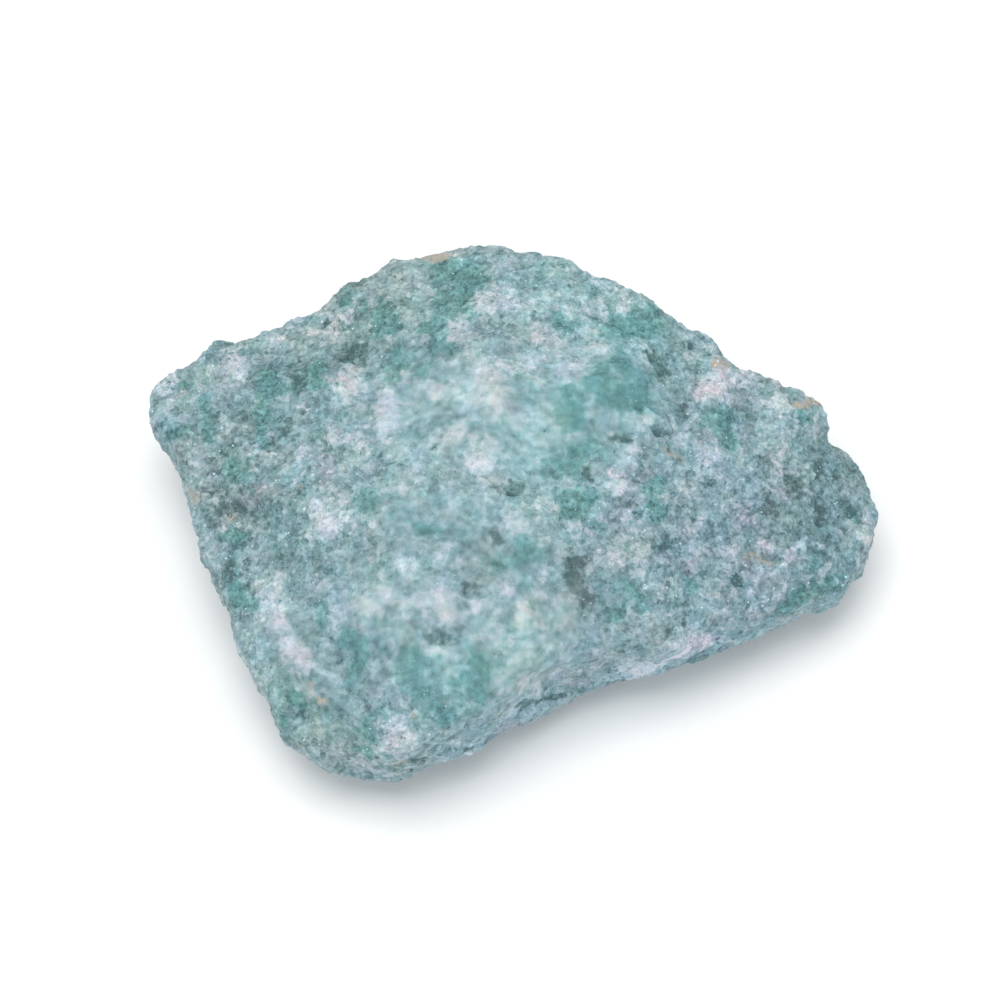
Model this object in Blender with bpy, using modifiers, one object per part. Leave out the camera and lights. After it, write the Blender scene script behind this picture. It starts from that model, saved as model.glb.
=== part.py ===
"""Rough green aventurine: one loose, broken piece of granular green quartz rock.

The stone is a low chunk with a broad crown, a high broken wall behind, a thinner
edge in front and a small flat spot underneath that it rests on. Its widest line
is the rim. Broken faces fall from the crown to the rim, and walls and shallow
faces close in from the rim to the foot.

All dimensions below are in millimetres. The origin is at the middle of the
stone's box, on the surface that it rests on, with +X along its length.
"""

import math

import bmesh
import bpy
import numpy as np
from mathutils import Vector, noise

MM = 0.001
PART_NAME = "rough_green_aventurine"

# The rim, anticlockwise from the right end: x, y and height of each corner.
RIM = (
    (21.3, 0.8, 4.6),
    (20.2, 3.6, 5.2),
    (17.9, 4.4, 5.8),
    (18.4, 5.9, 6.4),
    (17.0, 7.2, 7.0),
    (13.5, 8.4, 8.2),
    (12.3, 9.4, 8.7),
    (11.3, 10.3, 9.2),
    (9.8, 10.4, 9.5),
    (7.8, 11.4, 9.9),
    (4.1, 13.3, 10.1),
    (2.9, 14.5, 10.1),
    (-2.4, 15.5, 9.6),
    (-4.7, 15.3, 9.3),
    (-7.1, 15.2, 9.0),
    (-9.7, 13.9, 8.5),
    (-11.4, 12.2, 8.1),
    (-13.3, 11.8, 7.8),
    (-15.5, 10.7, 7.4),
    (-17.9, 11.2, 7.2),
    (-18.4, 9.5, 7.0),
    (-21.0, 8.4, 6.8),
    (-21.3, 6.8, 6.7),
    (-20.7, 4.9, 6.6),
    (-19.4, 3.8, 6.5),
    (-18.4, -0.3, 6.1),
    (-17.2, -4.0, 5.7),
    (-16.3, -6.6, 5.4),
    (-13.9, -11.7, 4.7),
    (-13.1, -14.3, 4.1),
    (-10.6, -15.6, 3.4),
    (-7.0, -15.9, 3.1),
    (-5.6, -15.6, 3.1),
    (-1.9, -14.0, 3.4),
    (2.1, -11.0, 3.7),
    (6.8, -9.6, 3.4),
    (8.3, -9.6, 3.3),
    (14.7, -6.4, 2.9),
    (16.5, -5.5, 2.9),
    (18.5, -4.7, 3.0),
    (20.5, -2.7, 3.5),
    (20.2, -1.8, 3.8),
    (21.1, -0.9, 4.2),
)
RIM_CENTRE = (-1.0, 0.0)

# Broken faces: a point on each, the compass way that it leans (0 is +X and 90 is +Y),
# and its slope in degrees. Crown faces fall that way, and base faces rise that way.
CROWN_FACES = (
    (0.0, 0.0, 12.4, 270, 4),
    (0.0, 7.5, 12.5, 82, 15),
    (-2.0, -9.0, 11.3, 266, 27),
    (-8.5, 0.0, 10.9, 183, 17),
    (-10.2, -7.9, 9.4, 208, 27),
    (7.0, 0.0, 11.4, 318, 24),
    (12.0, 5.0, 10.1, 18, 22),
    (-9.7, 9.1, 10.0, 140, 17),
    (18.6, 0.5, 7.2, 5, 40),
    (-10.5, -13.6, 7.4, 235, 40),
)
BASE_FACES = (
    (0.0, 0.0, -1.6, 0, 0),
    (-6.5, 0.0, 0.0, 180, 10),
    (7.5, 0.0, 0.0, 358, 11),
    (0.5, -6.0, 0.0, 275, 14),
    (0.0, 7.0, 0.0, 96, 9),
    (-5.5, -4.5, 0.0, 228, 12),
    (-19.6, 2.8, 5.2, 200, 66),
    (-14.6, -8.9, 3.6, 205, 60),
    (-15.3, 11.0, 5.6, 118, 64),
    (-4.0, 15.4, 8.0, 95, 74),
    (6.0, 12.9, 8.4, 62, 68),
    (14.6, 8.0, 6.6, 78, 62),
    (20.3, 1.0, 3.4, 8, 52),
    (-9.0, -15.2, 2.4, 258, 50),
    (3.5, -10.8, 2.8, 296, 56),
)
FACE_SOFTNESS = 0.3
CROWN_SQUARENESS = 7.0
FRONT_SQUARENESS = 14.0
BASE_SQUARENESS = 14.0

# Chips: size of a chip, how much each one tilts, and how deep the steps between them are.
CHIPS = (
    (6.5, 0.09, 0.22),
    (2.6, 0.10, 0.08),
)
# Swells: size of a swell and its height.
SWELLS = (
    (9.0, 0.40),
    (3.6, 0.10),
    (1.6, 0.07),
)

# Forms that stand out of the surface or are sunk in it: height, width and the points it runs through.
FORMS = (
    # Crevice behind the left shoulder
    (-0.45, 0.8, ((-11.2, 11.3, 9.1), (-10.4, 9.9, 9.5), (-9.4, 8.1, 10.4), (-8.1, 7.2, 10.8))),
    # Knobs of the left shoulder
    (0.26, 1.2, ((-9.7, 6.0, 10.5),)),
    (0.34, 1.1, ((-7.3, 4.5, 10.8),)),
    (0.19, 1.1, ((-9.6, 2.6, 10.8),)),
    (0.26, 1.3, ((-10.6, -3.1, 10.4),)),
    # Ledge down the left edge, with a hollow beside it
    (0.38, 0.8, ((-14.8, -5.8, 8.0), (-13.4, -8.5, 7.9), (-11.6, -11.6, 7.8))),
    (-0.22, 1.1, ((-12.3, -6.7, 8.8), (-10.2, -10.5, 8.6), (-9.4, -12.9, 8.5))),
    # Pits and a knob near the front
    (-0.49, 0.75, ((-12.1, -13.3, 6.4),)),
    (-0.34, 0.9, ((-2.1, -12.0, 9.7), (-3.2, -13.2, 9.0))),
    (0.26, 1.1, ((-6.3, -15.6, 7.4),)),
    # Rib in front, with a hollow to the right of it
    (0.26, 0.8, ((0.8, -8.4, 10.6), (0.5, -12.5, 8.8))),
    (-0.22, 1.0, ((2.7, -7.6, 10.3), (3.5, -10.5, 8.7))),
    # Ridge of the right shoulder, with a hollow beyond it
    (0.38, 0.9, ((11.8, 7.8, 9.1), (11.1, 3.2, 9.7), (11.1, -1.2, 9.3))),
    (-0.26, 1.2, ((12.9, 7.1, 9.0), (13.6, 4.1, 8.8))),
    # Cleft, hollow and small notch at the right end
    (-0.45, 0.8, ((18.2, 4.0, 7.2), (16.6, 2.9, 8.0), (14.9, 1.5, 8.4))),
    (-0.26, 1.4, ((18.3, -0.1, 6.9),)),
    (-0.30, 0.6, ((20.1, -2.6, 5.1), (18.8, -2.9, 5.5))),
    # Knob and nick on the back left edge
    (0.26, 1.1, ((-16.8, 9.3, 8.2),)),
    (-0.26, 0.7, ((-14.7, 10.2, 8.6), (-14.1, 8.2, 9.2))),
    # Lumps, ribs and edge of the crown
    (0.22, 1.3, ((-0.7, 10.5, 11.8),)),
    (0.22, 1.2, ((-1.8, 0.1, 12.5),)),
    (0.19, 0.8, ((0.1, -3.7, 12.0),)),
    (0.19, 0.9, ((2.7, 6.7, 12.3), (5.0, 5.6, 12.2))),
    (0.22, 1.0, ((7.2, 0.7, 11.2), (5.6, -2.4, 10.9))),
    (0.19, 1.2, ((-7.7, -8.3, 10.4), (-4.9, -9.3, 10.9))),
    # Shallow hollows
    (-0.22, 1.4, ((8.0, 9.4, 11.3),)),
    (-0.19, 1.4, ((-4.8, 12.6, 10.7),)),
    (-0.19, 1.2, ((-13.2, 5.8, 9.5),)),
    (-0.22, 1.2, ((-17.7, 1.1, 7.7), (-16.0, -3.4, 8.1))),
    (-0.19, 1.3, ((-6.3, -12.4, 9.8),)),
    # Lip along the front edge, right part
    (0.22, 0.7, ((7.2, -9.4, 5.6), (10.7, -8.5, 5.4), (13.2, -7.1, 4.4))),
)

VOXEL = 0.42
FACE_LIMIT = 9400


def face_height(face, x, y, fall):
    """Height of a face above the point x, y. fall is 1 for the crown and -1 for the base."""
    x0, y0, z0, way, slope = face
    way = math.radians(way)
    along = (x - x0) * math.cos(way) + (y - y0) * math.sin(way)
    return z0 - fall * math.tan(math.radians(slope)) * along


def lowest(heights):
    """The lowest of several heights, rounded off where two of them meet."""
    least = min(heights)
    total = sum(math.exp((least - height) / FACE_SOFTNESS) for height in heights)
    return least - FACE_SOFTNESS * math.log(total)


def crown_height(x, y):
    return lowest([face_height(face, x, y, 1) for face in CROWN_FACES])


def base_height(x, y):
    return -lowest([-face_height(face, x, y, -1) for face in BASE_FACES])


def rim_at(angle):
    """Distance from the rim's centre, and height, where the rim crosses an angle."""
    centre_x, centre_y = RIM_CENTRE
    way_x = math.cos(angle)
    way_y = math.sin(angle)
    for i, (bx, by, bz) in enumerate(RIM):
        ax, ay, az = RIM[i - 1]
        ax -= centre_x
        ay -= centre_y
        run_x = bx - centre_x - ax
        run_y = by - centre_y - ay
        turn = way_x * run_y - way_y * run_x
        if abs(turn) < 1e-9:
            continue
        reach = (ax * run_y - ay * run_x) / turn
        share = (ax * way_y - ay * way_x) / turn
        if reach > 0 and -1e-9 <= share <= 1 + 1e-9:
            return reach, az + (bz - az) * share
    raise ValueError("the rim has a gap")


def on_stone(way):
    """The point of the stone's plain form for one direction on a unit ball."""
    angle = math.atan2(way.y, way.x)
    reach, rim_z = rim_at(angle)
    if way.z > 0:
        front = max(0.0, -math.sin(angle))
        power = CROWN_SQUARENESS + (FRONT_SQUARENESS - CROWN_SQUARENESS) * front
    else:
        power = BASE_SQUARENESS
    out, rise = along_edge(math.acos(min(1.0, abs(way.z))) / (math.pi / 2), power)
    x = RIM_CENTRE[0] + out * reach * math.cos(angle)
    y = RIM_CENTRE[1] + out * reach * math.sin(angle)
    if way.z > 0:
        target = max(rim_z + 0.2, crown_height(x, y))
    else:
        target = min(rim_z - 0.2, base_height(x, y))
    return Vector((x, y, rim_z + (target - rim_z) * rise))


def along_edge(share, power):
    """Distance out and height on a rounded square corner, a share of the way round it."""
    corner = 0.5 ** (1 / power)
    if share < 0.5:
        out = 2 * share * corner
        return out, (1 - out**power) ** (1 / power)
    rise = 2 * (1 - share) * corner
    return (1 - rise**power) ** (1 / power), rise


def warp(point):
    """A smooth random shift, the same each time for the same point."""
    return Vector(noise.noise(point + Vector((10.0 * i, 3.0, 7.0 * i))) for i in range(3))


def chip_relief(point, size, tilt, step):
    """Height of the small broken facet that a point lies on."""
    spot = point / size + warp(point / (1.6 * size)) * 0.35
    distances, centres = noise.voronoi(spot)
    weights = [math.exp(-12.0 * (distance - distances[0])) for distance in distances]
    total = 0.0
    for weight, middle in zip(weights, centres):
        lean = noise.cell_vector(middle * 7.3 + Vector((3.1, 5.7, 1.9)))
        level = noise.cell(middle * 5.1 + Vector((8.3, 2.2, 4.4)))
        total += weight * (tilt * size * (spot - middle).dot(lean) + step * level)
    return total / sum(weights)


def form_relief(point):
    """Height of the named lumps, ridges, pits and grooves at a point."""
    total = 0.0
    for height, width, path in FORMS:
        nearest = min(distance_to_run(point, a, b) for a, b in zip(path, path[1:] or path))
        total += height * math.exp(-((nearest / width) ** 2))
    return total


def distance_to_run(point, a, b):
    start = Vector(a)
    run = Vector(b) - start
    length = run.length_squared
    share = 0.0
    if length > 0:
        share = min(1.0, max(0.0, (point - start).dot(run) / length))
    return (point - start - run * share).length


def relief(point):
    """How far the broken surface stands out of the plain form."""
    total = form_relief(point)
    for size, height in SWELLS:
        total += height * noise.noise(point / size + Vector((size, 0.5, 0.25)))
    for size, tilt, step in CHIPS:
        total += chip_relief(point, size, tilt, step)
    return total


def clear_scene():
    for thing in list(bpy.data.objects):
        bpy.data.objects.remove(thing, do_unlink=True)


def plain_form():
    """A fine ball whose points are moved onto the stone's plain form."""
    bm = bmesh.new()
    bmesh.ops.create_icosphere(bm, subdivisions=7, radius=1.0)
    for vert in bm.verts:
        vert.co = on_stone(vert.co.normalized()) * MM
    mesh = bpy.data.meshes.new("stone")
    bm.to_mesh(mesh)
    bm.free()
    return bpy.data.objects.new("stone", mesh)


def apply_modifiers(thing):
    """Replaces an object's mesh by what its modifiers make of it."""
    graph = bpy.context.evaluated_depsgraph_get()
    graph.update()
    mesh = bpy.data.meshes.new_from_object(thing.evaluated_get(graph))
    thing.modifiers.clear()
    thing.data = mesh


def remesh_evenly(thing):
    remesh = thing.modifiers.new("even", "REMESH")
    remesh.mode = "VOXEL"
    remesh.voxel_size = VOXEL * MM
    apply_modifiers(thing)


def break_surface(thing):
    """Moves each point out or in along its normal by the relief there."""
    points = coordinates(thing, "co")
    normals = coordinates(thing, "normal")
    heights = np.array([relief(Vector(point)) for point in points / MM])
    heights -= heights.mean()
    points += normals * heights[:, None] * MM
    thing.data.vertices.foreach_set("co", points.ravel())


def coordinates(thing, name):
    """The places or the normals of all points of an object, one row each."""
    values = np.empty(len(thing.data.vertices) * 3)
    thing.data.vertices.foreach_get(name, values)
    return values.reshape(-1, 3)


def fewer_faces(thing):
    thing.data.calc_loop_triangles()
    count = len(thing.data.loop_triangles)
    decimate = thing.modifiers.new("fewer", "DECIMATE")
    decimate.ratio = FACE_LIMIT / count
    decimate.use_collapse_triangulate = True
    apply_modifiers(thing)


def loose_islands(bm):
    """Points of all pieces but the largest one, left where a hollow of the underside meets the cut."""
    waiting = set(bm.verts)
    pieces = []
    while waiting:
        front = [waiting.pop()]
        piece = []
        while front:
            vert = front.pop()
            piece.append(vert)
            for edge in vert.link_edges:
                other = edge.other_vert(vert)
                if other in waiting:
                    waiting.remove(other)
                    front.append(other)
        pieces.append(piece)
    pieces.sort(key=len)
    return [vert for piece in pieces[:-1] for vert in piece]


def cut_foot(thing):
    """Cuts the stone off flat where it rests."""
    bm = bmesh.new()
    bm.from_mesh(thing.data)
    cut = bmesh.ops.bisect_plane(
        bm,
        geom=bm.verts[:] + bm.edges[:] + bm.faces[:],
        plane_co=(0, 0, 0),
        plane_no=(0, 0, 1),
        clear_inner=True,
    )
    bmesh.ops.delete(bm, geom=loose_islands(bm), context="VERTS")
    edges = [item for item in cut["geom_cut"] if item.is_valid and isinstance(item, bmesh.types.BMEdge)]
    bmesh.ops.holes_fill(bm, edges=edges, sides=0)
    bmesh.ops.triangulate(bm, faces=bm.faces[:])
    bmesh.ops.recalc_face_normals(bm, faces=bm.faces[:])
    bm.to_mesh(thing.data)
    bm.free()


def centre(thing):
    """Puts the origin at the middle of the stone's box, on its foot."""
    points = coordinates(thing, "co")
    middle = (points.min(0) + points.max(0)) / 2
    points[:, :2] -= middle[:2]
    thing.data.vertices.foreach_set("co", points.ravel())


def stone_material():
    material = bpy.data.materials.new("green_quartz")
    material.use_nodes = True
    shader = material.node_tree.nodes["Principled BSDF"]
    shader.inputs["Base Color"].default_value = (0.297, 0.431, 0.461, 1.0)
    shader.inputs["Roughness"].default_value = 0.6
    shader.inputs["Metallic"].default_value = 0.0
    return material


def main():
    clear_scene()
    collection = bpy.data.collections.new(PART_NAME)
    bpy.context.scene.collection.children.link(collection)
    stone = plain_form()
    collection.objects.link(stone)
    remesh_evenly(stone)
    break_surface(stone)
    fewer_faces(stone)
    cut_foot(stone)
    centre(stone)
    stone.data.materials.append(stone_material())


main()
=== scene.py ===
"""Looks of one loose piece of rough green aventurine.

The stone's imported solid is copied, made finer and roughened grain by grain. Its
colours are granular too: pale quartz, teal green mica, grey-lilac and dark grains,
with a few rusty spots. Lengths are in millimetres, and are multiplied by MM where
Blender is given them. The floor and the lights are in metres.
"""

import math

import bpy
import numpy as np
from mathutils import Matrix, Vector, noise
from mathutils.bvhtree import BVHTree


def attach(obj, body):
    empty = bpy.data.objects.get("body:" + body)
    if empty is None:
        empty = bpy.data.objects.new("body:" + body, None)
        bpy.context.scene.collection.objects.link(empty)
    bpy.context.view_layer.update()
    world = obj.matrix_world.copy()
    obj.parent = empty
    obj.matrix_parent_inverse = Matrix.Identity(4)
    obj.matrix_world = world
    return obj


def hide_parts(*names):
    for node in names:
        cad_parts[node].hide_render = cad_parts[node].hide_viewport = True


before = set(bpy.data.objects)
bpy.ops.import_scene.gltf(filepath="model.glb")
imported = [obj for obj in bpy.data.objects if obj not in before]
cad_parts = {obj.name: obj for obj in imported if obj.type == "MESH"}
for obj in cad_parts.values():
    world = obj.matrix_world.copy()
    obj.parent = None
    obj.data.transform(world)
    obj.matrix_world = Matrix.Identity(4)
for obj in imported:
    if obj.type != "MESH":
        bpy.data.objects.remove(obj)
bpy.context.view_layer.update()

MM = 0.001
NODE = "stone"

# The camera looks down on the stone. AIM is the point that the middle of the picture shows.
CAMERA_ELEVATION = 60.0
CAMERA_DISTANCE = 241.05
LENS = 150.0
SENSOR = 36.0
AIM = Vector((-0.73, 0.74, 6.39))
PICTURE = 1000
# What the camera sees lies between these distances, in metres.
NEAR = 0.01
FAR = 10.0
# Width of a pixel of the picture at the stone.
PIXEL = CAMERA_DISTANCE * SENSOR / LENS / PICTURE

# The fine surface: size of its faces, how far the solid's facets are smoothed away,
# and its last number of triangles.
FACE_SIZE = 0.125
SMOOTHING = 0.5
SMOOTHING_ROUNDS = 8
TRIANGLES = 196000
# The height above the foot at which the roughness is whole, and its share that is worn away.
FOOT_FADE = 0.5
WORN_AWAY = 0.6

# Roughness of the broken surface: size of a swell and its height.
SWELLS = (
    (2.4, 0.08),
    (1.2, 0.06),
)
SWELL_SHIFT = (3.7, 1.9)
# Pale clumps stand out and dark spots lie deeper.
CLUMP_HEIGHT = 0.08
SPOT_DEPTH = 0.12
# Grains are facets that stand at unequal heights and lean: size, height, and slope of their tops.
FACETS = (
    (1.10, 0.055, 0.11),
    (0.60, 0.050, 0.16),
    (0.33, 0.040, 0.22),
)
# The share of a grain's size over which it runs into the next one.
FACET_JOIN = 0.25
# Each grain's random height and lean are read here: a factor and a shift of its middle.
LEVEL_AT = (5.3, Vector((2.1, 6.4, 3.3)))
LEAN_AT = (7.1, Vector((4.4, 1.2, 8.6)))
# Grains that stand out further than this, in standard deviations, are noted as this.
MOST_STAND = 2.5

# Marks seen in the photograph: strength, width in pixels, and the x, y in the picture
# that they run through.
PALE = (
    # Left end and shoulder.
    (0.8, 14, ((160, 388), (170, 380))),
    (0.7, 24, ((228, 350), (232, 368))),
    (0.7, 11, ((221, 415), (228, 425))),
    (0.6, 20, ((275, 338),)),
    (0.8, 14, ((343, 317), (334, 338))),
    (0.5, 9, ((280, 395), (310, 410))),
    (0.6, 14, ((305, 452), (301, 478))),
    (0.6, 12, ((226, 512), (228, 524))),
    # Crown.
    (1.0, 25, ((388, 396), (388, 424))),
    (0.9, 24, ((352, 370), (344, 388))),
    (0.9, 16, ((335, 437), (353, 440))),
    (0.8, 12, ((393, 443),)),
    (0.6, 12, ((361, 450), (374, 462))),
    (1.0, 26, ((320, 507), (335, 514), (327, 532))),
    (0.8, 17, ((432, 391), (450, 389))),
    (0.9, 13, ((462, 424), (450, 438))),
    (0.7, 10, ((429, 447),)),
    (0.9, 24, ((482, 304), (500, 296), (520, 305))),
    (0.6, 18, ((450, 333), (465, 326))),
    (0.8, 14, ((533, 325), (541, 344))),
    (0.9, 13, ((505, 364), (522, 370), (532, 356))),
    (0.8, 24, ((482, 372), (476, 390), (500, 398))),
    (1.0, 24, ((478, 452), (486, 468))),
    (0.6, 11, ((535, 430),)),
    (0.9, 14, ((508, 522), (522, 529))),
    (1.0, 11, ((574, 368), (586, 357), (600, 346))),
    (0.6, 14, ((583, 315), (586, 335))),
    (0.5, 13, ((590, 280), (615, 292))),
    (0.6, 14, ((545, 505),)),
    (0.5, 12, ((370, 530),)),
    (0.6, 12, ((406, 376),)),
    # Right shoulder and right face.
    (0.9, 12, ((645, 426), (650, 415))),
    (1.0, 17, ((630, 453), (618, 470), (616, 486))),
    (1.0, 22, ((708, 388), (722, 376), (744, 378))),
    (0.7, 15, ((776, 386), (779, 402))),
    (0.9, 13, ((702, 440), (705, 458), (700, 476))),
    (1.0, 7, ((781, 440), (781, 476))),
    (0.6, 14, ((630, 515), (640, 505))),
    (0.7, 13, ((700, 526), (690, 531))),
    (0.6, 14, ((757, 530), (768, 546))),
    (0.8, 12, ((785, 560), (796, 553))),
    (0.5, 16, ((730, 550),)),
    (0.8, 10, ((822, 545),)),
    (0.9, 12, ((868, 541),)),
    (0.8, 9, ((820, 577), (826, 567))),
    (0.9, 10, ((776, 597), (785, 585))),
    (0.7, 8, ((750, 596), (756, 584))),
    (0.7, 10, ((612, 555), (625, 561))),
    (0.7, 10, ((643, 566), (636, 576))),
    (0.7, 9, ((633, 612),)),
    (0.9, 15, ((675, 646), (686, 640))),
    (0.7, 14, ((704, 640), (730, 640))),
    # Lower left and front.
    (1.0, 12, ((258, 590), (270, 602), (287, 625))),
    (0.9, 11, ((273, 590), (279, 596))),
    (1.0, 18, ((285, 646), (299, 654), (308, 664))),
    (0.6, 15, ((336, 678),)),
    (0.9, 26, ((386, 591), (371, 605))),
    (0.9, 24, ((414, 606), (440, 600), (452, 613))),
    (0.7, 12, ((440, 557), (452, 547))),
    (0.6, 12, ((402, 568), (412, 560))),
    (0.9, 12, ((475, 605),)),
    (0.5, 18, ((480, 628), (505, 632))),
    (0.7, 13, ((506, 590),)),
    (0.9, 15, ((520, 626), (526, 611))),
    (0.7, 8, ((545, 575), (545, 602))),
    (0.8, 13, ((523, 692), (530, 676))),
    (0.6, 16, ((556, 670),)),
    (1.0, 22, ((396, 728), (405, 742))),
    (0.8, 16, ((384, 744), (396, 756))),
    (0.8, 13, ((354, 760), (370, 768))),
    (0.6, 12, ((322, 755),)),
    (0.7, 12, ((440, 648), (430, 656))),
    (0.7, 8, ((392, 680),)),
)
TEAL = (
    # Left end and shoulder.
    (0.9, 12, ((180, 385), (188, 386))),
    (0.7, 15, ((206, 400), (206, 440))),
    (1.0, 14, ((180, 430), (170, 436))),
    (1.0, 26, ((266, 380), (270, 394))),
    (0.8, 18, ((320, 366), (315, 384))),
    (0.7, 16, ((303, 340),)),
    (0.7, 16, ((260, 405), (266, 438))),
    (0.8, 24, ((233, 464), (246, 474))),
    (0.9, 18, ((230, 536), (240, 540))),
    (0.6, 14, ((290, 535),)),
    (1.0, 26, ((383, 313), (391, 326))),
    (0.6, 18, ((366, 306), (346, 296))),
    (1.0, 32, ((446, 270), (465, 275), (456, 302))),
    (0.9, 25, ((431, 328), (440, 342))),
    (0.7, 18, ((400, 345), (396, 380))),
    # Crown.
    (0.9, 22, ((560, 320), (571, 325))),
    (1.0, 26, ((612, 326), (640, 325), (648, 319))),
    (0.9, 25, ((618, 360), (626, 366))),
    (1.0, 32, ((600, 380), (615, 395), (640, 400))),
    (0.8, 28, ((576, 395), (566, 420))),
    (0.9, 20, ((592, 446), (580, 452))),
    (0.9, 17, ((553, 466), (571, 465))),
    (0.9, 18, ((587, 494), (568, 506))),
    (0.8, 12, ((597, 525),)),
    (0.9, 20, ((525, 546), (530, 556))),
    (0.6, 15, ((526, 388), (530, 400))),
    (0.8, 12, ((425, 370),)),
    (0.8, 11, ((385, 476),)),
    (0.5, 24, ((420, 520), (432, 533))),
    (0.5, 26, ((365, 500), (385, 520))),
    # Right shoulder and right face.
    (1.0, 22, ((726, 412), (715, 425), (725, 437))),
    (1.0, 18, ((648, 510), (660, 510))),
    (0.6, 20, ((666, 480), (650, 490))),
    (0.7, 15, ((800, 416), (806, 425))),
    (0.9, 12, ((855, 516),)),
    (0.9, 13, ((810, 560), (816, 566))),
    (1.0, 18, ((792, 606), (802, 597))),
    (0.8, 18, ((820, 585), (845, 586))),
    (0.8, 12, ((690, 585),)),
    (0.8, 20, ((635, 600), (620, 590))),
    (0.8, 15, ((613, 617), (622, 604))),
    # Lower left and front.
    (0.9, 15, ((250, 606), (236, 590))),
    (1.0, 16, ((300, 704), (297, 698))),
    (0.8, 12, ((285, 722),)),
    (0.7, 15, ((320, 606), (320, 628))),
    (0.9, 19, ((344, 638), (361, 650), (355, 668))),
    (0.9, 26, ((415, 655), (410, 675), (420, 692))),
    (1.0, 15, ((458, 684), (464, 679))),
    (1.0, 17, ((477, 662), (484, 678), (476, 692))),
    (0.8, 17, ((434, 708), (442, 722))),
    (0.7, 16, ((376, 708), (364, 732))),
    (0.7, 12, ((356, 750), (366, 752))),
    (0.6, 15, ((500, 570), (505, 560))),
)
DARK = (
    (1.0, 14, ((360, 350), (346, 357))),
    (1.0, 12, ((298, 378), (299, 390))),
    (0.7, 10, ((330, 322),)),
    (0.6, 16, ((210, 506), (216, 512))),
    (0.6, 14, ((285, 432), (276, 436))),
    (0.5, 34, ((215, 488), (240, 508))),
    (0.8, 20, ((655, 358), (664, 372))),
    (0.7, 11, ((690, 347),)),
    (1.0, 11, ((587, 470), (586, 480))),
    (0.7, 16, ((515, 486), (510, 492))),
    (0.9, 13, ((498, 534), (503, 541))),
    (0.5, 14, ((430, 532), (438, 536))),
    (0.6, 9, ((535, 350),)),
    (0.9, 11, ((658, 436), (667, 433))),
    (0.6, 12, ((616, 438), (624, 436))),
    (0.7, 13, ((638, 410),)),
    (0.7, 11, ((686, 406), (682, 417))),
    (0.7, 10, ((435, 445),)),
    (1.0, 16, ((794, 478), (800, 492))),
    (1.0, 13, ((772, 500), (765, 510))),
    (1.0, 9, ((820, 504), (821, 522))),
    (0.9, 14, ((841, 504), (850, 511))),
    (0.6, 18, ((826, 460), (815, 468))),
    (0.6, 12, ((776, 520),)),
    (0.8, 9, ((738, 576), (742, 586))),
    (0.7, 11, ((671, 575),)),
    (0.7, 11, ((641, 648),)),
    (0.8, 22, ((580, 562), (575, 580), (586, 600))),
    (0.6, 14, ((666, 545), (676, 540))),
    (0.6, 10, ((705, 555),)),
    (0.7, 10, ((686, 505),)),
    (0.6, 14, ((688, 620), (670, 630))),
    (0.6, 11, ((790, 620), (800, 614))),
    (1.0, 9, ((302, 714),)),
    (0.7, 12, ((232, 566), (240, 574))),
    (0.8, 16, ((434, 633), (446, 638))),
    (0.7, 12, ((463, 587), (472, 591))),
    (0.6, 8, ((382, 650),)),
    (0.7, 12, ((495, 655),)),
    (0.8, 12, ((518, 706), (538, 703), (560, 696))),
    (0.5, 12, ((470, 744), (500, 729))),
    (0.7, 12, ((412, 759), (432, 759))),
    (0.6, 10, ((417, 716),)),
)
LILAC = (
    (0.8, 36, ((640, 470), (625, 500))),
    (0.8, 30, ((720, 378), (700, 395))),
    (0.7, 40, ((750, 520), (770, 545))),
    (0.6, 40, ((600, 520), (640, 520))),
    (0.6, 40, ((760, 570), (740, 595))),
    (0.6, 22, ((328, 515),)),
    (0.6, 20, ((398, 742),)),
    # The next two marks lie on the front wall and partly paint the bluish tint of the light that
    # falls on it from the front.
    (0.8, 22, ((700, 642), (735, 634))),
    (0.7, 24, ((600, 672), (560, 688))),
    (0.6, 22, ((460, 425), (475, 405))),
    (0.7, 18, ((470, 745), (520, 722))),
    (0.6, 40, ((225, 495), (270, 490))),
    (0.5, 30, ((245, 620),)),
    (0.5, 30, ((315, 465), (330, 475))),
    (0.5, 34, ((580, 585), (600, 560))),
    (0.6, 26, ((780, 490),)),
    (0.6, 24, ((665, 560), (690, 565))),
)
RUST = (
    (0.9, 15, ((425, 257), (440, 258))),
    (0.8, 13, ((806, 393), (815, 401))),
    (0.6, 13, ((718, 362), (726, 365))),
    (0.4, 13, ((647, 420),)),
    (0.4, 15, ((670, 450), (676, 458))),
    (0.4, 13, ((300, 486),)),
    (0.35, 15, ((308, 684), (325, 700))),
    (0.4, 15, ((180, 393),)),
    (0.4, 15, ((230, 520),)),
    (0.5, 12, ((190, 490), (197, 500))),
    (0.35, 15, ((745, 560), (770, 560))),
    (0.5, 10, ((400, 763),)),
    (0.4, 10, ((417, 715),)),
    (0.3, 12, ((513, 528),)),
    (0.35, 13, ((575, 520),)),
)

# Where the grains are worn smoother.
WORN = (
    (1.0, 110, ((430, 400), (520, 430), (600, 400))),
    (0.9, 90, ((420, 520), (520, 560))),
    (1.0, 120, ((390, 620), (500, 650), (540, 620))),
    (0.6, 80, ((300, 640), (330, 700))),
)
MARKS = {
    "pale": PALE,
    "teal": TEAL,
    "dark": DARK,
    "lilac": LILAC,
    "rust": RUST,
    "worn": WORN,
}
# The share of a mark's width at which its strength has fallen to a third.
MARK_REACH = 0.6
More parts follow.
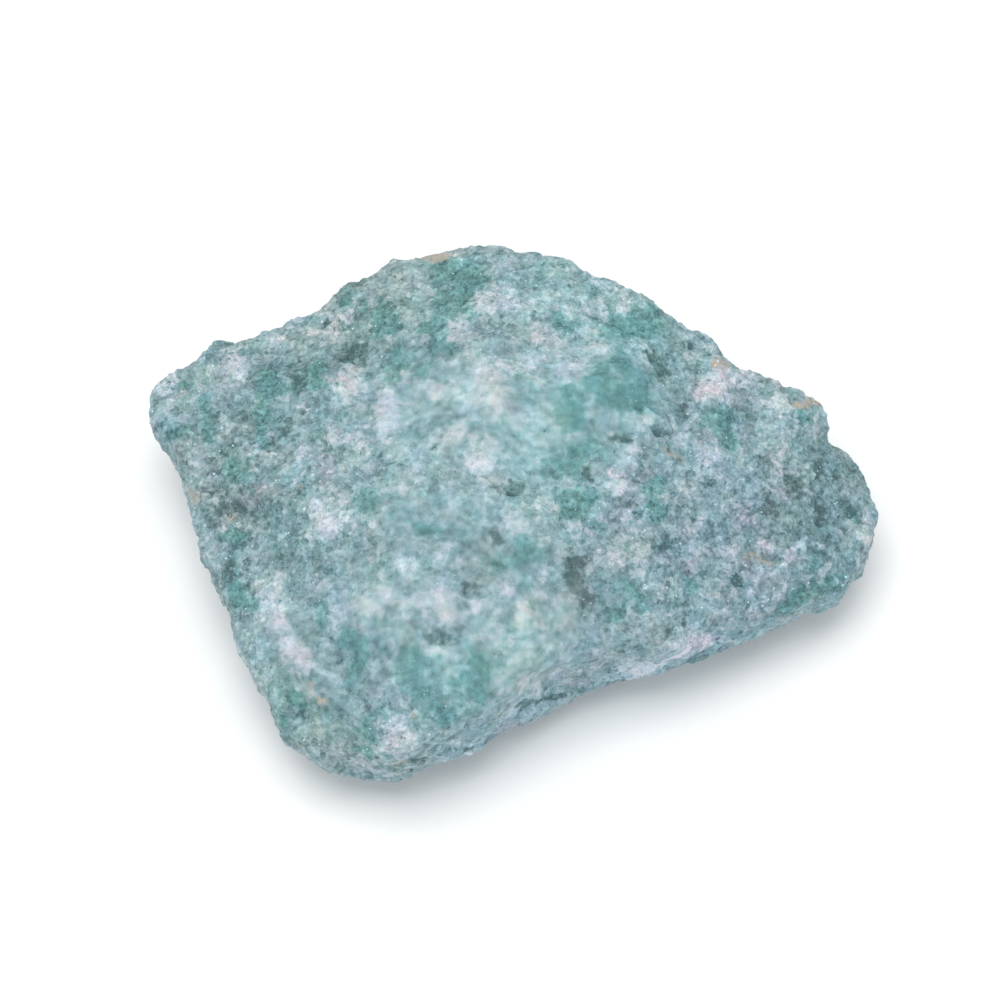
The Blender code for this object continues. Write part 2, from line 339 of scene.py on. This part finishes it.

# Broad, soft differences, which add up: paler, warmer and greener, or darker, cooler and greyer
# where negative. The light zones are partly the rock's own tone and partly painted light and
# shade: the crown that faces the light made paler, painted shade on the facets that turn away
# from it, and painted light from the floor on the front wall.
PAINTED_LIGHT_AND_TONE_ZONES = (
    (0.08, 120, ((440, 400), (520, 410))),
    (0.12, 60, ((370, 470),)),
    (0.12, 60, ((560, 285), (610, 300))),
    (0.09, 60, ((440, 280),)),
    (0.27, 40, ((790, 420),)),
    (0.10, 44, ((505, 640), (540, 628))),
    (0.10, 36, ((450, 675),)),
    # Painted light: the front wall made paler, as the light from the floor would make it.
    (0.45, 24, ((630, 672), (690, 650))),
    (0.07, 24, ((270, 605), (300, 655))),
    (0.08, 50, ((590, 390),)),
    (0.07, 24, ((470, 742), (560, 702))),
    (0.06, 24, ((760, 628),)),
    (-0.05, 90, ((220, 470), (240, 520))),
    (-0.10, 50, ((385, 340), (350, 350))),
    (-0.08, 60, ((290, 375),)),
    (-0.19, 70, ((825, 490), (815, 530))),
    (-0.06, 70, ((600, 590), (640, 580))),
    (-0.10, 50, ((500, 555), (470, 550))),
    (-0.16, 60, ((350, 680),)),
    (-0.13, 50, ((320, 730), (300, 720))),
    (-0.22, 40, ((245, 600),)),
    (-0.04, 50, ((780, 590),)),
    (-0.03, 60, ((385, 340),)),
    (-0.09, 24, ((560, 658),)),
    (-0.04, 60, ((640, 470),)),
    (-0.04, 50, ((640, 340),)),
    (-0.05, 60, ((460, 500),)),
    (-0.09, 100, ((278, 425), (268, 530))),
    (-0.04, 70, ((225, 388), (400, 395))),
    (-0.05, 50, ((410, 545), (410, 700))),
    (0.06, 80, ((470, 345), (570, 345))),
    (0.06, 40, ((400, 265), (420, 262))),
    (0.06, 46, ((614, 305),)),
    (-0.07, 80, ((685, 580), (755, 560))),
    # Painted light from the floor along the front wall, over the rock's own tone.
    (0.17, 34, ((512, 708), (660, 664))),
    (0.09, 46, ((312, 742), (362, 752))),
    (0.06, 40, ((860, 505), (858, 545))),
    (0.07, 40, ((262, 668),)),
    (-0.04, 60, ((405, 385), (410, 500))),
    (-0.04, 50, ((310, 430),)),
    (-0.05, 70, ((765, 470), (760, 585))),
    (0.06, 50, ((460, 262), (510, 272))),
    (0.06, 50, ((312, 590),)),
)
WARM_ZONES = (
    (0.5, 90, ((440, 280), (330, 330))),
    (0.4, 80, ((300, 710), (320, 730))),
    (0.2, 100, ((220, 480), (200, 430))),
    # Painted cool tint: the front wall made bluer, as the bluish light from the front would make
    # it.
    (-0.4, 60, ((470, 745), (600, 685), (740, 635))),
    (-0.3, 120, ((700, 500), (740, 560))),
    (-0.3, 60, ((350, 680),)),
    (0.35, 70, ((520, 640),)),
    (0.22, 80, ((460, 400),)),
    (0.2, 60, ((380, 600),)),
    (-0.25, 60, ((440, 285),)),
    (0.3, 60, ((235, 500),)),
    (-0.25, 50, ((185, 420),)),
)
GREEN_ZONES = (
    (0.10, 110, ((540, 470), (600, 390), (640, 340))),
    (0.08, 60, ((560, 285),)),
    (0.08, 50, ((460, 400),)),
    (0.12, 60, ((520, 640),)),
    (0.08, 50, ((380, 600),)),
    (0.05, 40, ((790, 420),)),
    (0.05, 50, ((640, 340),)),
    (-0.06, 60, ((600, 590),)),
    (0.08, 60, ((290, 700), (250, 600))),
    # Painted tint of light: the front wall made less green, as the bluish light from the front
    # would make it.
    (-0.10, 30, ((640, 668), (700, 648))),
    (0.16, 50, ((450, 680),)),
    (0.07, 60, ((290, 375),)),
    (0.05, 60, ((440, 285), (560, 285))),
    (0.06, 30, ((470, 742), (760, 628))),
    (-0.07, 60, ((235, 500),)),
    (-0.05, 80, ((700, 520),)),
    (-0.05, 50, ((735, 400),)),
    (-0.12, 24, ((270, 605), (300, 655))),
    (-0.08, 60, ((760, 525), (755, 545))),
    (-0.06, 44, ((712, 428),)),
    (0.04, 60, ((410, 385), (410, 505))),
    (0.04, 60, ((310, 425), (310, 545))),
    (-0.06, 40, ((260, 650),)),
    (-0.06, 34, ((460, 625),)),
    (0.05, 44, ((410, 738), (470, 716))),
    (0.05, 50, ((510, 285),)),
    (-0.05, 40, ((612, 305),)),
)
ZONES = {"light": PAINTED_LIGHT_AND_TONE_ZONES, "warm": WARM_ZONES, "green": GREEN_ZONES}

# Marks are bent by two smooth random shifts, so that they have no clean outline:
# size and reach, and how far the shift's three directions are read from one another.
MARK_BENDS = (
    (1.2, 0.36),
    (0.45, 0.26),
)
BEND_APART = (9.0, 4.0, 6.0)

# Sizes in the rock's colours, from its grains to its clouds.
GRAIN = 0.16
CRUMB = 0.30
GRIT = 0.28
MOTTLE = 0.85
CLOUD = 3.4
HUE_FIELD = 1.4
WARM_FIELD = 1.8
# Where each random field is read, so that no two of them are alike.
GRIT_SHIFT = (5.0, 8.0, 2.0)
HUE_SHIFT = (17.0, 3.0, 8.0)
# Places are shaken a little before grains are read at them: size and reach of the shake.
SHAKE = (0.18, 0.12)
# How far a patch's outline follows the crumbs, where nothing is worn.
CRUMB_OUTLINE = 0.55
# How crisp the grains are: where nothing is worn, the loss where all is, and the least.
CRISP = (1.1, 1.05, 0.12)

# Patches of the rock: shift and size of their pattern, how far a mark raises it, and the
# levels at which a patch starts and is whole.
PATCHES = {
    "pale": ((0.0, 0.0, 0.0), 1.1, 1.00, 0.24, 0.52),
    "teal": ((31.0, 17.0, 5.0), 1.3, 1.00, 0.24, 0.54),
    "dark": ((7.0, 41.0, 23.0), 0.7, 1.10, 0.26, 0.66),
    "lilac": ((3.0, 9.0, 57.0), 1.8, 0.60, 0.20, 0.60),
}
PATCH_CONTRAST = 2.0
# The strength of a patch without a mark, and what a mark adds to it.
PATCH_STRENGTH = (0.6, 0.4)
# How much further apart those levels are where the stone is worn.
WORN_BLUR = 0.16

# Tones: what the fields add to the middle one, under the patches and over them, and what
# the grains add where they are crisp.
MIDDLE_TONE = 0.51
CLOUD_TONE = 0.55
MOTTLE_UNDER = 0.60
MOTTLE_OVER = 0.36
CRUMB_OVER = 0.10
GRIT_TONE = 0.64
CRUMB_TONE = 0.14
GRAIN_TONE = 0.18
# Painted shade of the relief: grains that stand out are made paler, and sunken ones darker.
PAINTED_RELIEF_SHADE_TONE = 0.030
# The share by which each kind of patch moves the tone, and the tone that it moves to.
PATCH_TONES = (
    ("teal", 0.7, 0.18),
    ("pale", 0.8, 0.86),
    ("dark", 0.9, -0.03),
)
# Colours of the rock from dark to pale: tone, and linear red, green and blue.
TONES = (
    (0.00, (0.050, 0.101, 0.112)),
    (0.18, (0.102, 0.187, 0.206)),
    (0.36, (0.163, 0.268, 0.294)),
    (0.52, (0.229, 0.347, 0.379)),
    (0.68, (0.312, 0.432, 0.473)),
    (0.84, (0.422, 0.533, 0.576)),
    (1.00, (0.550, 0.648, 0.690)),
)

# Hue from green at 0 to lilac at 1: what the tone, the patches and a random field add to
# the middle one.
TONE_HUE = 0.12
LILAC_HUE = 0.20
PALE_HUE = 0.06
TEAL_HUE = -0.32
FIELD_HUE = 0.60
GREEN_TINT = (0.68, 1.06, 1.00)
LILAC_TINT = (1.28, 0.935, 1.02)
# Warmth from cool at 0 to warm at 1: what a zone and a random field add to the middle one.
ZONE_WARMTH = 0.30
FIELD_WARMTH = 0.75
COOL_TINT = (0.90, 1.01, 1.14)
WARM_TINT = (1.13, 0.99, 0.82)

# Rust stains the paler crumbs first: what is added to a crumb's random number, the levels
# at which rust starts and is whole, and its share of the colour.
RUST_COLOUR = (0.43, 0.35, 0.27)
RUST_CRUMBS = 0.5
RUST_LEVELS = (0.14, 0.60)
RUST_SHARE = 0.75
# Pits are where grit and mottle are darkest, above all in dark patches.
PIT_COLOUR = (0.07, 0.14, 0.14)
PIT_GRIT = -1.0
PIT_MOTTLE = -0.6
PIT_DARK = 0.12
PIT_LEVELS = (0.19, 0.28)
PIT_SHARE = 0.7
# Glints are the middles of a few grains: which grains, and how far from their middle. Their pale
# colour is a painted glint, on top of their gloss and lean.
PAINTED_GLINT_COLOUR = (0.72, 0.90, 0.93)
GLINT_PICK = (0.96, 1.0)
GLINT_REACH = (0.45, 0.15)

# Relief too fine for the mesh: what grit and grains add to it, its height and strength.
RELIEF_GRIT = 1.5
RELIEF_EDGE = -0.30
RELIEF_GRAIN = 0.20
RELIEF_HEIGHT = 0.08
RELIEF_STRENGTH = 0.7
# How far the faces of grains and of glints lean.
GRAIN_LEAN = 0.22
GLINT_LEAN = 0.8
# Roughness, and what a grain's random number and a glint add to it.
ROUGHNESS = 0.48
GRAIN_ROUGHNESS = 0.2
GLINT_ROUGHNESS = -0.35
# Light enters quartz a little way: share, reach of red, green and blue, and their unit.
QUARTZ_IOR = 1.54
SUBSURFACE = 0.2
SUBSURFACE_REACH = (0.6, 0.9, 0.9)
SUBSURFACE_UNIT = 0.4

# Floor and light, in metres and watts: place, size, power and colour of each soft light.
FLOOR_SIZE = 6.0
FLOOR_GAP = 0.00002
FLOOR_COLOUR = (0.9, 0.9, 0.9, 1.0)
FLOOR_ROUGHNESS = 0.9
FLOOR_SPECULAR = 0.1
LIGHTS = {
    "key": ((-0.10, 0.02, 0.82), 0.6, 4.6, (1.0, 0.99, 0.97)),
    "fill": ((0.10, -0.70, 0.50), 0.9, 1.4, (0.88, 0.94, 1.0)),
}
SKY_COLOUR = (0.96, 0.98, 1.0, 1.0)
SKY_STRENGTH = 0.65


def camera_axes():
    """The camera's right, up and forward directions."""
    tilt = math.radians(CAMERA_ELEVATION)
    right = Vector((1, 0, 0))
    up = Vector((0, math.sin(tilt), math.cos(tilt)))
    forward = Vector((0, math.cos(tilt), -math.sin(tilt)))
    return right, up, forward


def make_camera():
    _, _, forward = camera_axes()
    data = bpy.data.cameras.new("camera")
    data.lens = LENS
    data.sensor_width = SENSOR
    data.clip_start = NEAR
    data.clip_end = FAR
    camera = bpy.data.objects.new("camera", data)
    camera.location = (AIM - forward * CAMERA_DISTANCE) * MM
    camera.rotation_euler = (math.radians(90.0 - CAMERA_ELEVATION), 0.0, 0.0)
    bpy.context.scene.collection.objects.link(camera)
    bpy.context.scene.camera = camera


def place_of_pixel(tree, x, y):
    """The point of the stone, in millimetres, that a pixel of the picture shows."""
    right, up, forward = camera_axes()
    pixel = SENSOR / LENS / PICTURE
    way = forward + right * (x - PICTURE / 2) * pixel - up * (y - PICTURE / 2) * pixel
    start = AIM - forward * CAMERA_DISTANCE
    hit = tree.ray_cast(start * MM, way.normalized())[0]
    if hit is None:
        hit = tree.find_nearest((start + way * CAMERA_DISTANCE) * MM)[0]
    return hit / MM


def coordinates(thing, name):
    """The places or the normals of all points of an object, one row each."""
    values = np.empty(len(thing.data.vertices) * 3)
    thing.data.vertices.foreach_get(name, values)
    return values.reshape(-1, 3)


def note(thing, name, values):
    """Writes one number for each point of an object's mesh, for its material."""
    layer = thing.data.attributes.new(name, "FLOAT", "POINT")
    layer.data.foreach_set("value", values.astype(np.float32))


def apply_modifiers(thing):
    """Puts what an object's modifiers make in place of its mesh."""
    graph = bpy.context.evaluated_depsgraph_get()
    graph.update()
    mesh = bpy.data.meshes.new_from_object(thing.evaluated_get(graph))
    thing.modifiers.clear()
    thing.data = mesh


def fine_copy(solid):
    """A copy of the solid's mesh with small, even faces."""
    stone = bpy.data.objects.new("stone_surface", solid.data.copy())
    bpy.context.scene.collection.objects.link(stone)
    remesh = stone.modifiers.new("even", "REMESH")
    remesh.mode = "VOXEL"
    remesh.voxel_size = FACE_SIZE * MM
    smooth = stone.modifiers.new("smooth", "SMOOTH")
    smooth.factor = SMOOTHING
    smooth.iterations = SMOOTHING_ROUNDS
    apply_modifiers(stone)
    return stone


def facet(point, size, top, slope):
    """Height on the leaning top of the nearest grain, run into the next one's near their edge."""
    spot = point / size
    distances, centres = noise.voronoi(spot)
    level_factor, level_shift = LEVEL_AT
    lean_factor, lean_shift = LEAN_AT
    heights = []
    for centre in centres[:2]:
        level = noise.cell(centre * level_factor + level_shift) - 0.5
        lean = noise.cell_vector(centre * lean_factor + lean_shift) - Vector((0.5, 0.5, 0.5))
        heights.append(top * level + 2 * slope * size * (spot - centre).dot(lean))
    share = 0.5 + 0.5 * min(1.0, (distances[1] - distances[0]) / FACET_JOIN)
    return heights[0] * share + heights[1] * (1 - share)


def surface_at(point):
    """Height of the broken surface over the smooth one, and the share that its grains make."""
    swell = 0
    for size, height in SWELLS:
        swell += height * noise.noise(point / size + Vector((size, *SWELL_SHIFT)))
    grains = 0
    for size, top, slope in FACETS:
        grains += facet(point + Vector((size, 0.0, 0.0)), size, top, slope)
    return swell + grains, grains


def noted(thing, name):
    """The numbers that note() wrote under a name."""
    values = np.empty(len(thing.data.vertices), dtype=np.float32)
    thing.data.attributes[name].data.foreach_get("value", values)
    return values


def roughen(stone):
    """Moves each point along its normal and notes how far its grain stands out.

    The move fades out towards the flat foot, which stays as it is.
    """
    points = coordinates(stone, "co") / MM
    normals = coordinates(stone, "normal")
    values = np.array([surface_at(Vector(point)) for point in points])
    rough, grains = values[:, 0], values[:, 1]
    heights = (rough - rough.mean()) * (1 - WORN_AWAY * noted(stone, "worn"))
    heights += CLUMP_HEIGHT * noted(stone, "pale") - SPOT_DEPTH * noted(stone, "dark")
    fade = np.clip(points[:, 2] / FOOT_FADE, 0.0, 1.0)
    points += normals * (heights * fade)[:, None]
    points[:, 2] = np.maximum(points[:, 2], 0.0)
    stone.data.vertices.foreach_set("co", (points * MM).ravel())
    stand = (grains - grains.mean()) / grains.std()
    note(stone, "stand", np.clip(stand, -MOST_STAND, MOST_STAND))


def thin_out(stone):
    """Leaves fewer faces where the surface is plain."""
    count = sum(len(face.vertices) - 2 for face in stone.data.polygons)
    fewer = stone.modifiers.new("fewer", "DECIMATE")
    fewer.ratio = min(1.0, TRIANGLES / count)
    apply_modifiers(stone)


def distance_to_run(points, a, b):
    """How far each point is from the straight run between a and b."""
    run = b - a
    length = max(run @ run, 1e-9)
    share = np.clip((points - a) @ run / length, 0.0, 1.0)
    return np.linalg.norm(points - a - share[:, None] * run, axis=1)


def bend(point):
    """The point shifted at random but smoothly, which gives a mark an uneven outline."""
    x, y, z = BEND_APART
    total = Vector(point)
    for size, reach in MARK_BENDS:
        spot = point / size
        places = [spot + Vector((x * i, y, z * i)) for i in range(3)]
        total += reach * Vector(noise.noise(place) for place in places)
    return total


def paint_marks(stone, solid):
    """Writes each kind of mark and of zone as an attribute of the mesh."""
    tree = BVHTree.FromPolygons(
        [vert.co.copy() for vert in solid.data.vertices],
        [tuple(face.vertices) for face in solid.data.polygons],
    )
    points = np.array([bend(Vector(point)) for point in coordinates(stone, "co") / MM])

    def strength_of(mark):
        strength, width, path = mark
        places = [np.array(place_of_pixel(tree, x, y)) for x, y in path]
        runs = list(zip(places, places[1:] or places))
        nearest = np.min([distance_to_run(points, a, b) for a, b in runs], axis=0)
        return strength * np.exp(-((nearest / (MARK_REACH * width * PIXEL)) ** 2))

    for kind, marks in MARKS.items():
        note(stone, kind, np.max([strength_of(mark) for mark in marks], axis=0))
    for kind, zones in ZONES.items():
        note(stone, kind, np.sum([strength_of(zone) for zone in zones], axis=0))


class Nodes:
    """Adds shader nodes to a material and links what each one is given."""

    def __init__(self, material):
        material.use_nodes = True
        self.tree = material.node_tree
        self.tree.nodes.clear()

    def add(self, kind, output=0, settings=None, **inputs):
        """One node; an input is named by its socket's name, or by i and its number."""
        made = self.tree.nodes.new(kind)
        for name, value in (settings or {}).items():
            setattr(made, name, value)
        for name, value in inputs.items():
            numbered = name[0] == "i" and name[1:].isdigit()
            key = int(name[1:]) if numbered else name.replace("_", " ")
            self.give(made.inputs[key], value)
        return made.outputs[output]

    def give(self, socket, value):
        if isinstance(value, bpy.types.NodeSocket):
            self.tree.links.new(value, socket)
        else:
            socket.default_value = value

    def maths(self, operation, a, b=0.0, c=0.0):
        return self.add("ShaderNodeMath", settings={"operation": operation}, i0=a, i1=b, i2=c)

    def vector(self, operation, a, b=(0.0, 0.0, 0.0)):
        return self.add("ShaderNodeVectorMath", settings={"operation": operation}, i0=a, i1=b)

    def scaled(self, a, factor):
        scale = {"operation": "SCALE"}
        return self.add("ShaderNodeVectorMath", settings=scale, i0=a, Scale=factor)

    def weighted(self, *terms):
        """Sum of factor times value."""
        total = 0.0
        for factor, value in terms:
            total = self.maths("MULTIPLY_ADD", value, factor, total)
        return total

    def times(self, a, b):
        return self.maths("MULTIPLY", a, b)

    def towards(self, value, share, level):
        """A value moved by a share of the way to a level."""
        return self.maths("MULTIPLY_ADD", self.maths("SUBTRACT", level, value), share, value)

    def centred(self, value):
        return self.maths("SUBTRACT", value, 0.5)

    def noise(self, place, size, detail, roughness, output=0):
        return self.add(
            "ShaderNodeTexNoise",
            output=output,
            Vector=place,
            Scale=1.0 / size,
            Detail=detail,
            Roughness=roughness,
        )

    def cells(self, place, size):
        """Random cells: three numbers for each, the distance from its middle, and the middle."""
        made = self.add("ShaderNodeTexVoronoi", output="Color", Vector=place, Scale=1.0 / size)
        return (*self.split(made), made.node.outputs["Distance"], made.node.outputs["Position"])

    def step(self, value, low, high):
        """0 below low, 1 above high and smooth between them."""
        return self.add(
            "ShaderNodeMapRange",
            settings={"interpolation_type": "SMOOTHSTEP"},
            Value=value,
            From_Min=low,
            From_Max=high,
        )

    def mark(self, kind):
        name = {"attribute_name": kind}
        return self.add("ShaderNodeAttribute", output="Fac", settings=name)

    def split(self, colour):
        made = self.tree.nodes.new("ShaderNodeSeparateColor")
        self.tree.links.new(colour, made.inputs[0])
        return made.outputs[0], made.outputs[1], made.outputs[2]

    def mix(self, share, a, b, blend="MIX"):
        made = self.tree.nodes.new("ShaderNodeMix")
        made.data_type = "RGBA"
        made.blend_type = blend
        self.give(made.inputs[0], share)
        self.give(made.inputs[6], a if isinstance(a, bpy.types.NodeSocket) else (*a, 1.0))
        self.give(made.inputs[7], b if isinstance(b, bpy.types.NodeSocket) else (*b, 1.0))
        return made.outputs[2]

    def ramp(self, value, stops):
        """The colour at a value on a scale of colours."""
        made = self.add("ShaderNodeValToRGB", Fac=value)
        elements = made.node.color_ramp.elements
        while len(elements) < len(stops):
            elements.new(0.5)
        for element, (position, colour) in zip(elements, stops):
            element.position = position
            element.color = (*colour, 1.0)
        return made

    def surface(self, shader):
        """Makes a shader the material's surface."""
        output = self.tree.nodes.new("ShaderNodeOutputMaterial")
        self.tree.links.new(shader.outputs[0], output.inputs["Surface"])


class Rock:
    """What the looks of the rock are made of: its grains, random fields and patches."""

    def __init__(self, nodes):
        self.nodes = nodes
        object_place = nodes.add("ShaderNodeTexCoord", output="Object")
        self.place = nodes.scaled(object_place, 1.0 / MM)
        shake_size, shake_reach = SHAKE
        shake = nodes.noise(self.place, shake_size, 1.0, 0.6, output=1)
        shake = nodes.vector("SUBTRACT", shake, (0.5, 0.5, 0.5))
        bent = nodes.vector("ADD", self.place, nodes.scaled(shake, shake_reach))

        self.worn = nodes.mark("worn")
        unworn, loss, least = CRISP
        crisp = nodes.maths("MULTIPLY_ADD", self.worn, -loss, unworn)
        self.crisp = nodes.maths("MAXIMUM", crisp, least)
        self.crumb, _, self.crumb_turn, _, crumb_middle = nodes.cells(bent, CRUMB)
        self.grain, self.grain_pick, self.grain_turn, self.grain_distance, _ = nodes.cells(
            bent, GRAIN
        )
        way = nodes.vector("SUBTRACT", crumb_middle, bent)
        way = nodes.scaled(way, nodes.times(self.crisp, CRUMB_OUTLINE))
        self.stepped = nodes.vector("ADD", bent, way)
        self.clouds = nodes.centred(nodes.noise(self.place, CLOUD, 1.0, 0.8))
        self.mottle = nodes.centred(nodes.noise(self.stepped, MOTTLE, 1.0, 1.0))
        grit_place = nodes.vector("ADD", bent, GRIT_SHIFT)
        self.grit = nodes.centred(nodes.noise(grit_place, GRIT, 1.0, 1.0))
        self.patches = {kind: self.patch(kind, *values) for kind, values in PATCHES.items()}

    def patch(self, kind, shift, size, reach, low, high):
        """Patches with a lobed outline, more and larger where the mark is, softer where worn."""
        nodes = self.nodes
        marked = nodes.mark(kind)
        field = nodes.noise(nodes.vector("ADD", self.stepped, shift), size, 2.0, 0.7)
        raised = nodes.times(marked, reach)
        field = nodes.maths("MULTIPLY_ADD", nodes.centred(field), PATCH_CONTRAST, raised)
        blur = nodes.times(self.worn, WORN_BLUR)
        low = nodes.maths("SUBTRACT", low, blur)
        high = nodes.maths("ADD", high, blur)
        plain, added = PATCH_STRENGTH
        strength = nodes.maths("MULTIPLY_ADD", marked, added, plain)
        return nodes.times(nodes.step(field, low, high), strength)

    def tones(self):
        """The tone that the patches leave, and the whole tone, with its grains."""
        nodes = self.nodes
        fine = nodes.weighted(
            (GRIT_TONE, self.grit),
            (CRUMB_TONE, nodes.centred(self.crumb)),
            (GRAIN_TONE, nodes.centred(self.grain)),
            # Painted relief shade: paler where a grain stands out.
            (PAINTED_RELIEF_SHADE_TONE, nodes.mark("stand")),
        )
        soft = nodes.weighted(
            (CLOUD_TONE, self.clouds),
            (MOTTLE_UNDER, self.mottle),
            # The light zones: the rock's own broad tone, with painted light and shade.
            (1.0, nodes.mark("light")),
            (1.0, MIDDLE_TONE),
        )
        for kind, share, tone in PATCH_TONES:
            soft = nodes.towards(soft, nodes.times(self.patches[kind], share), tone)
        whole = nodes.weighted(
            (CRUMB_OVER, nodes.centred(self.crumb)),
            (MOTTLE_OVER, self.mottle),
            (self.crisp, fine),
            (1.0, soft),
        )
        return soft, whole

    def tints(self, soft):
        """The tint from green to lilac, and the one from cool to warm."""
        nodes = self.nodes
        field = nodes.vector("ADD", self.stepped, HUE_SHIFT)
        hue = nodes.weighted(
            (TONE_HUE, nodes.centred(soft)),
            (LILAC_HUE, self.patches["lilac"]),
            (PALE_HUE, self.patches["pale"]),
            (TEAL_HUE, self.patches["teal"]),
            (-1.0, nodes.mark("green")),
            (FIELD_HUE, nodes.centred(nodes.noise(field, HUE_FIELD, 2.0, 0.8))),
            (1.0, 0.5),
        )
        warmth = nodes.weighted(
            (ZONE_WARMTH, nodes.mark("warm")),
            (FIELD_WARMTH, nodes.centred(nodes.noise(self.place, WARM_FIELD, 2.0, 0.8))),
            (1.0, 0.5),
        )
        return (
            nodes.mix(nodes.step(hue, 0.0, 1.0), GREEN_TINT, LILAC_TINT),
            nodes.mix(nodes.step(warmth, 0.0, 1.0), COOL_TINT, WARM_TINT),
        )

    def glints(self):
        nodes = self.nodes
        picked = nodes.step(self.grain_pick, *GLINT_PICK)
        return nodes.times(picked, nodes.step(self.grain_distance, *GLINT_REACH))

    def colour(self, glint):
        nodes = self.nodes
        soft, whole = self.tones()
        tint, warm_tint = self.tints(soft)
        colour = nodes.mix(1.0, nodes.ramp(whole, TONES), tint, "MULTIPLY")
        colour = nodes.mix(1.0, colour, warm_tint, "MULTIPLY")

        stain = nodes.times(nodes.mark("rust"), nodes.maths("ADD", self.crumb, RUST_CRUMBS))
        rusty = nodes.step(stain, *RUST_LEVELS)
        colour = nodes.mix(nodes.times(rusty, RUST_SHARE), colour, RUST_COLOUR)

        depth = nodes.weighted(
            (PIT_GRIT, self.grit),
            (PIT_MOTTLE, self.mottle),
            (PIT_DARK, self.patches["dark"]),
        )
        pit = nodes.times(nodes.step(depth, *PIT_LEVELS), nodes.times(self.crisp, PIT_SHARE))
        colour = nodes.mix(pit, colour, PIT_COLOUR)
        # Painted glints: pale dots in the colour stand in for sparkle.
        return nodes.mix(nodes.times(glint, self.crisp), colour, PAINTED_GLINT_COLOUR)

    def normal(self, glint):
        """The surface's direction with the finest relief and the lean of each grain."""
        nodes = self.nodes
        height = nodes.weighted(
            (RELIEF_GRIT, self.grit),
            (RELIEF_EDGE, self.grain_distance),
            (RELIEF_GRAIN, self.grain),
        )
        bump = nodes.add(
            "ShaderNodeBump",
            Strength=nodes.times(self.crisp, RELIEF_STRENGTH),
            Distance=RELIEF_HEIGHT * MM,
            Height=height,
        )
        lean = nodes.add(
            "ShaderNodeCombineXYZ", X=self.grain_turn, Y=self.crumb_turn, Z=self.grain
        )
        lean = nodes.vector("SUBTRACT", lean, (0.5, 0.5, 0.5))
        share = nodes.times(self.crisp, GRAIN_LEAN)
        share = nodes.maths("MULTIPLY_ADD", glint, GLINT_LEAN, share)
        return nodes.vector("NORMALIZE", nodes.vector("ADD", bump, nodes.scaled(lean, share)))


def rock_material():
    """Granular quartz: pale and teal patches of small grains, with dark pits, and mica glints
    that are partly painted into the colour.
    """
    material = bpy.data.materials.new("granular_green_quartz")
    nodes = Nodes(material)
    rock = Rock(nodes)
    glint = rock.glints()
    shader = nodes.tree.nodes.new("ShaderNodeBsdfPrincipled")
    nodes.give(shader.inputs["Base Color"], rock.colour(glint))
    rough = nodes.weighted(
        (GLINT_ROUGHNESS, glint),
        (GRAIN_ROUGHNESS, rock.grain_turn),
        (1.0, ROUGHNESS),
    )
    nodes.give(shader.inputs["Roughness"], rough)
    nodes.give(shader.inputs["Normal"], rock.normal(glint))
    shader.inputs["IOR"].default_value = QUARTZ_IOR
    shader.inputs["Subsurface Weight"].default_value = SUBSURFACE
    shader.inputs["Subsurface Radius"].default_value = SUBSURFACE_REACH
    shader.inputs["Subsurface Scale"].default_value = SUBSURFACE_UNIT * MM
    nodes.surface(shader)
    return material


def floor_material():
    material = bpy.data.materials.new("pale_floor")
    nodes = Nodes(material)
    shader = nodes.tree.nodes.new("ShaderNodeBsdfPrincipled")
    shader.inputs["Base Color"].default_value = FLOOR_COLOUR
    shader.inputs["Roughness"].default_value = FLOOR_ROUGHNESS
    shader.inputs["Specular IOR Level"].default_value = FLOOR_SPECULAR
    nodes.surface(shader)
    return material




def make_floor():
    bpy.ops.mesh.primitive_plane_add(size=FLOOR_SIZE, location=(0.0, 0.0, -FLOOR_GAP))
    floor = bpy.context.object
    floor.name = "floor"
    floor.data.materials.append(floor_material())


def area_light(name, place, size, power, colour):
    """A square soft light at a place in metres, turned towards the stone."""
    data = bpy.data.lights.new(name, "AREA")
    data.shape = "SQUARE"
    data.size = size
    data.energy = power
    data.color = colour
    light = bpy.data.objects.new(name, data)
    light.location = place
    light.rotation_euler = (-Vector(place)).to_track_quat("-Z", "Y").to_euler()
    bpy.context.scene.collection.objects.link(light)


def make_lights():
    for name, light in LIGHTS.items():
        area_light(name, *light)
    world = bpy.data.worlds.new("studio")
    world.use_nodes = True
    background = world.node_tree.nodes["Background"]
    background.inputs["Color"].default_value = SKY_COLOUR
    background.inputs["Strength"].default_value = SKY_STRENGTH
    bpy.context.scene.world = world
    bpy.context.scene.view_settings.view_transform = "Standard"


def make_stone():
    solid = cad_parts[NODE]
    stone = fine_copy(solid)
    paint_marks(stone, solid)
    roughen(stone)
    thin_out(stone)
    stone.data.materials.clear()
    stone.data.materials.append(rock_material())
    stone.data.shade_smooth()
    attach(stone, "root")
    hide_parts(NODE)


make_camera()
make_stone()
make_floor()
make_lights()
